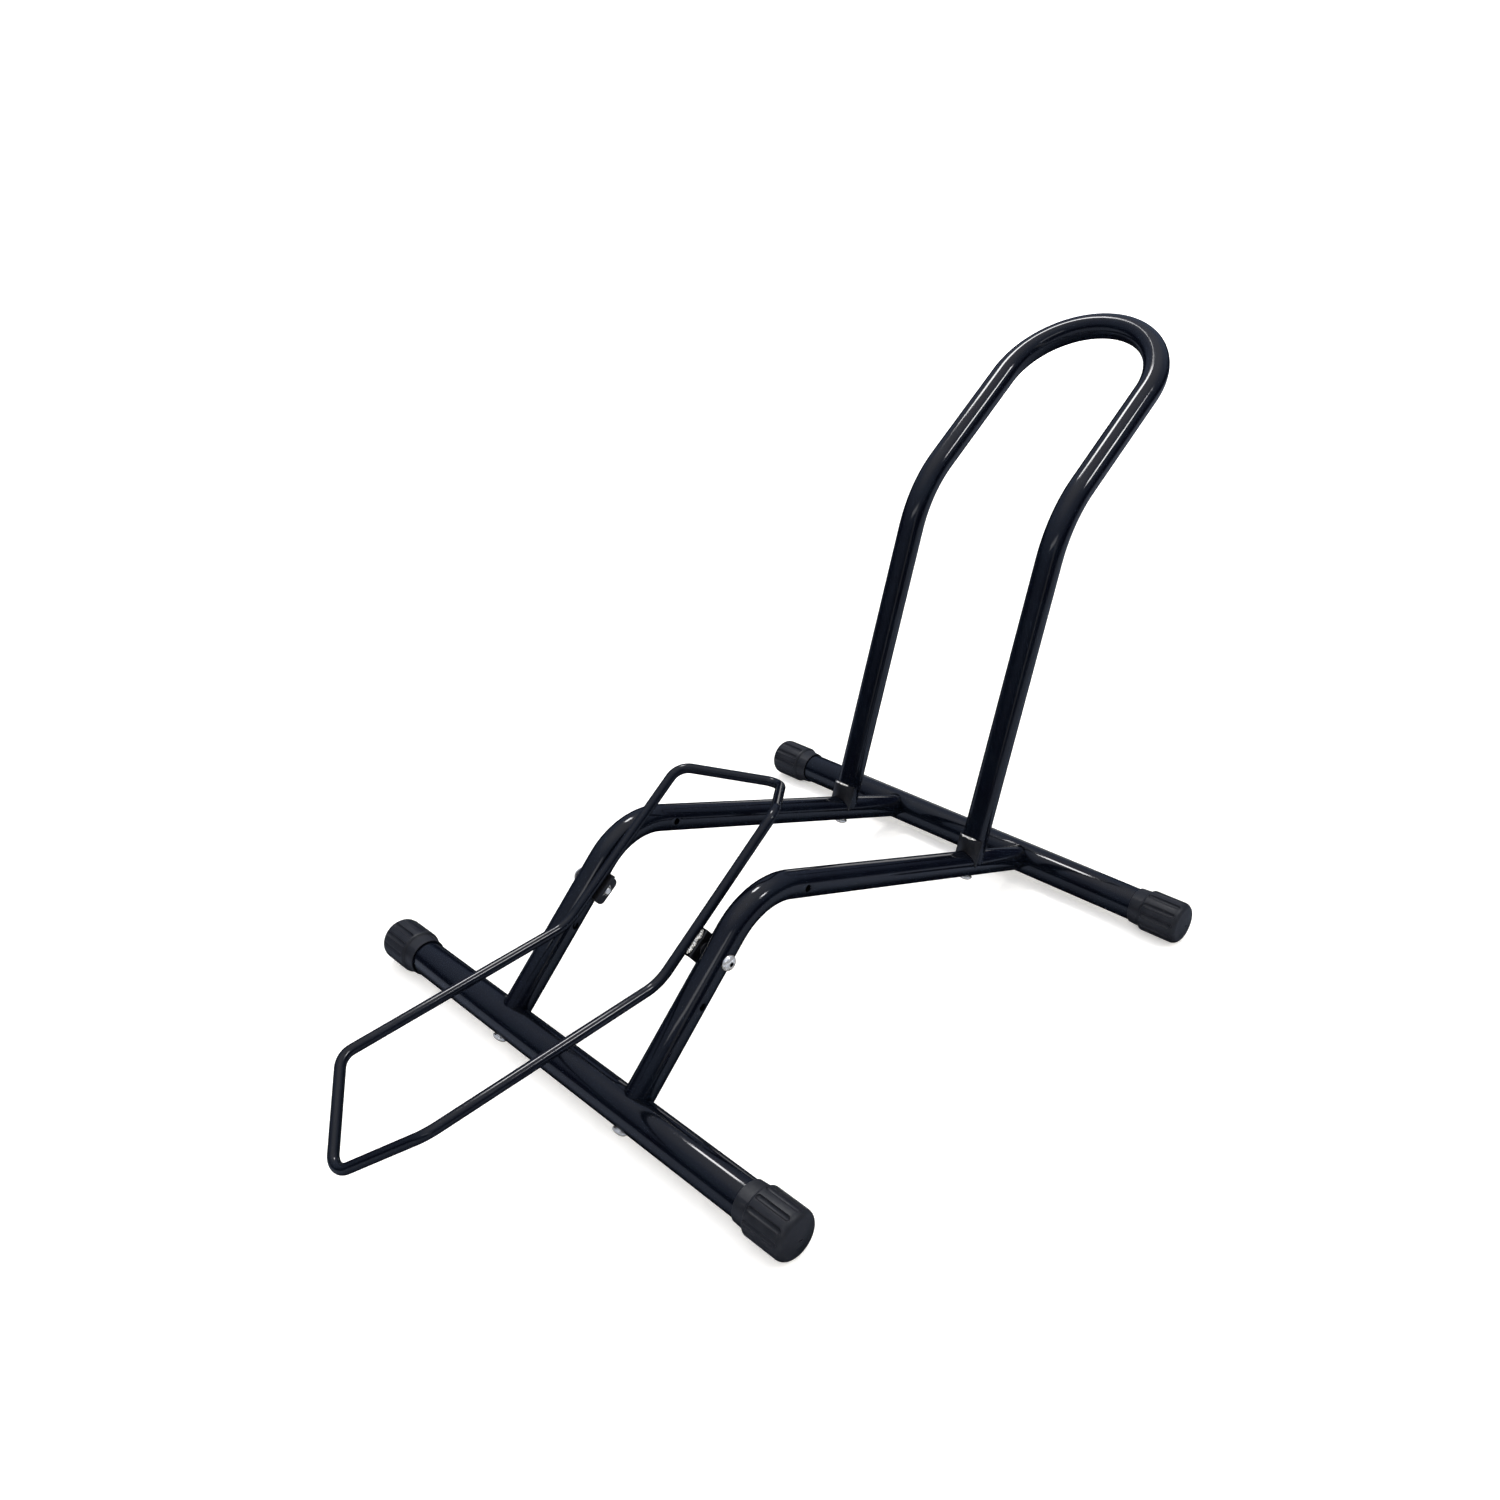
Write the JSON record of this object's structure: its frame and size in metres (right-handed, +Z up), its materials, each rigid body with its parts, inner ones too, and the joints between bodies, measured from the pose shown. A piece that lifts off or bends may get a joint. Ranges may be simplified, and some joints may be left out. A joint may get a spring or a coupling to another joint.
{
  "type": "floor bike rack",
  "caption": "Freestanding floor stand for a bicycle wheel: crosswise base tubes, bent side tubes, a tall leaning hoop and a rocking wire cradle that centres the tyre.",
  "frame": {"origin": "on the floor, under the middle of the rack's outline", "axes": "+X is the rack's right side as the wheel rolls in, +Y points to the rear, away from where the wheel enters, and +Z is up"},
  "size_m": [0.5316, 0.9606, 0.5268],
  "materials": {
    "black_powder_coat": "gloss black powder coat over steel tube and rod",
    "cap_rubber": "matte moulded rubber",
    "zinc_steel": "bright zinc plate",
    "washer_nylon": "plain black nylon"
  },
  "bodies": {
    "frame": {"front_base_tube": "black_powder_coat", "rear_base_tube": "black_powder_coat", "side_tube_left": "black_powder_coat", "side_tube_right": "black_powder_coat", "wheel_hoop": "black_powder_coat", "hoop_gusset_left": "black_powder_coat", "hoop_gusset_right": "black_powder_coat", "tube_plug_front_left": "zinc_steel", "tube_plug_front_right": "zinc_steel", "tube_plug_rear_left": "zinc_steel", "tube_plug_rear_right": "zinc_steel", "hoop_nut_disc_left": "zinc_steel", "hoop_nut_disc_right": "zinc_steel", "frame_bolt_front_left": "zinc_steel", "frame_bolt_front_right": "zinc_steel", "frame_bolt_rear_left": "zinc_steel", "frame_bolt_rear_right": "zinc_steel", "hoop_bolt_left": "zinc_steel", "hoop_bolt_right": "zinc_steel", "pivot_bolt_left": "zinc_steel", "pivot_bolt_right": "zinc_steel", "pivot_washer_left": "washer_nylon", "pivot_washer_right": "washer_nylon", "pivot_nut_left": "zinc_steel", "pivot_nut_right": "zinc_steel", "end_cap_front_left": "cap_rubber", "end_cap_front_right": "cap_rubber", "end_cap_rear_left": "cap_rubber", "end_cap_rear_right": "cap_rubber"},
    "rocker": {"rocker_wire": "black_powder_coat", "rocker_bracket_left": "black_powder_coat", "rocker_bracket_right": "black_powder_coat"}
  },
  "joints": [
    {"name": "rocker_pivot", "type": "hinge", "parent": "frame", "child": "rocker", "pos_m": [0, -0.17606, 0.11683], "axis": [-1, 0, 0], "range_deg": [-8.5, 66]}
  ]
}
